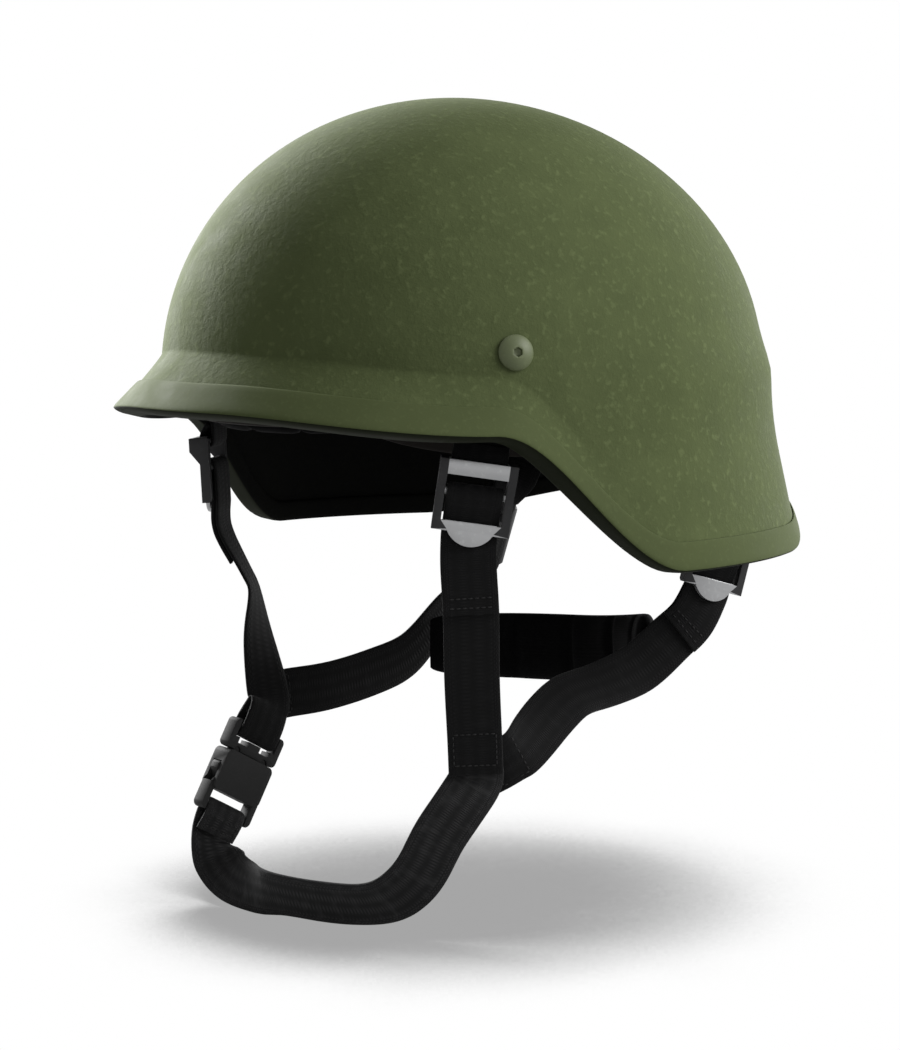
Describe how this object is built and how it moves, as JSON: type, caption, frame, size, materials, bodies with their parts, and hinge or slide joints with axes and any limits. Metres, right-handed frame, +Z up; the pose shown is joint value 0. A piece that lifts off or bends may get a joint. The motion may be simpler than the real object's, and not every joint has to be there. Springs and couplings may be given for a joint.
{
  "type": "combat helmet",
  "caption": "Flared combat helmet with a rubber edge trim, four-point webbing harness, ladder locks, nape pad and a side-release chin buckle.",
  "frame": {"origin": "on the shell's upright axis, 6.5 mm above its widest line, at the middle of the wearer's head", "axes": "+Z up through the crown, -Y to the wearer's front, +X to the wearer's left"},
  "size_m": [0.2502, 0.2773, 0.313],
  "materials": {
    "shell": "olive paint with a fine grit on pressed aramid laminate",
    "trim": "matt moulded rubber",
    "bolt": "olive phosphate steel",
    "washer": "zinc plated",
    "nut": "zinc plated",
    "band": "ribbed nylon",
    "webbing": "woven nylon webbing",
    "leather": "dark grained leather",
    "pad": "knit over foam",
    "clip": "folded spring steel",
    "lock": "grey satin coat on steel",
    "buckle": "moulded acetal"
  },
  "bodies": {
    "helmet": {"shell": "shell", "edge_trim": "trim", "strap_bolts": "bolt", "bolt_washers": "washer", "bolt_nuts": "nut", "suspension_band": "band", "crown_straps": "webbing", "crown_ring": "leather", "crown_pad": "pad", "headband": "leather", "headband_clips": "clip", "brow_pad": "pad", "front_hanger_left": "webbing", "front_hanger_right": "webbing", "rear_hanger_left": "webbing", "rear_hanger_right": "webbing", "front_strap_left": "webbing", "front_strap_right": "webbing", "rear_strap_left": "webbing", "rear_strap_right": "webbing", "nape_pad": "pad", "chin_strap": "webbing", "buckle_male": "buckle"},
    "front_lock_left": {"front_lock_left": "lock"},
    "front_lock_right": {"front_lock_right": "lock"},
    "rear_lock_left": {"rear_lock_left": "lock"},
    "rear_lock_right": {"rear_lock_right": "lock"},
    "buckle_female": {"buckle_female": "buckle"},
    "buckle_arm_left": {"buckle_arm_left": "buckle"},
    "buckle_arm_right": {"buckle_arm_right": "buckle"}
  },
  "joints": [
    {"name": "front_lock_left_tilt", "type": "hinge", "parent": "helmet", "child": "front_lock_left", "pos_m": [0.0801, -0.0646, -0.034], "axis": [-0.6232, -0.7696, 0.1392], "range_deg": [0, 25], "deforming": ["front_strap_left"]},
    {"name": "front_lock_right_tilt", "type": "hinge", "parent": "helmet", "child": "front_lock_right", "pos_m": [-0.0804, -0.0639, -0.034], "axis": [-0.6293, 0.7771, 0], "range_deg": [0, 25], "deforming": ["front_strap_right"]},
    {"name": "rear_lock_left_tilt", "type": "hinge", "parent": "helmet", "child": "rear_lock_left", "pos_m": [0.0667, 0.0767, -0.0678], "axis": [-0.2325, -0.9327, 0.2756], "range_deg": [0, 25], "deforming": ["rear_strap_left"]},
    {"name": "rear_lock_right_tilt", "type": "hinge", "parent": "helmet", "child": "rear_lock_right", "pos_m": [-0.0667, 0.0767, -0.0678], "axis": [-0.2287, 0.9174, -0.3256], "range_deg": [0, 25], "deforming": ["rear_strap_right"]},
    {"name": "buckle_release", "type": "slide", "parent": "helmet", "child": "buckle_female", "axis": [-0.0221, -0.4853, -0.8741], "range_m": [0, 0.026], "deforming": ["chin_strap", "buckle_arm_left", "buckle_arm_right"]},
    {"name": "buckle_arm_left_pinch", "type": "hinge", "parent": "helmet", "child": "buckle_arm_left", "pos_m": [-0.06144, -0.05657, -0.16364], "axis": [-0.9992, -0.0174, 0.0349], "range_deg": [0, 9], "stiffness_Nm_per_rad": 0.05},
    {"name": "buckle_arm_right_pinch", "type": "hinge", "parent": "helmet", "child": "buckle_arm_right", "pos_m": [-0.06096, -0.06986, -0.15627], "axis": [0.9992, 0.0174, -0.0349], "range_deg": [0, 9], "stiffness_Nm_per_rad": 0.05}
  ],
  "couplings": [
    {"joint": "buckle_arm_right_pinch", "follows": "buckle_arm_left_pinch", "ratio": 1}
  ]
}
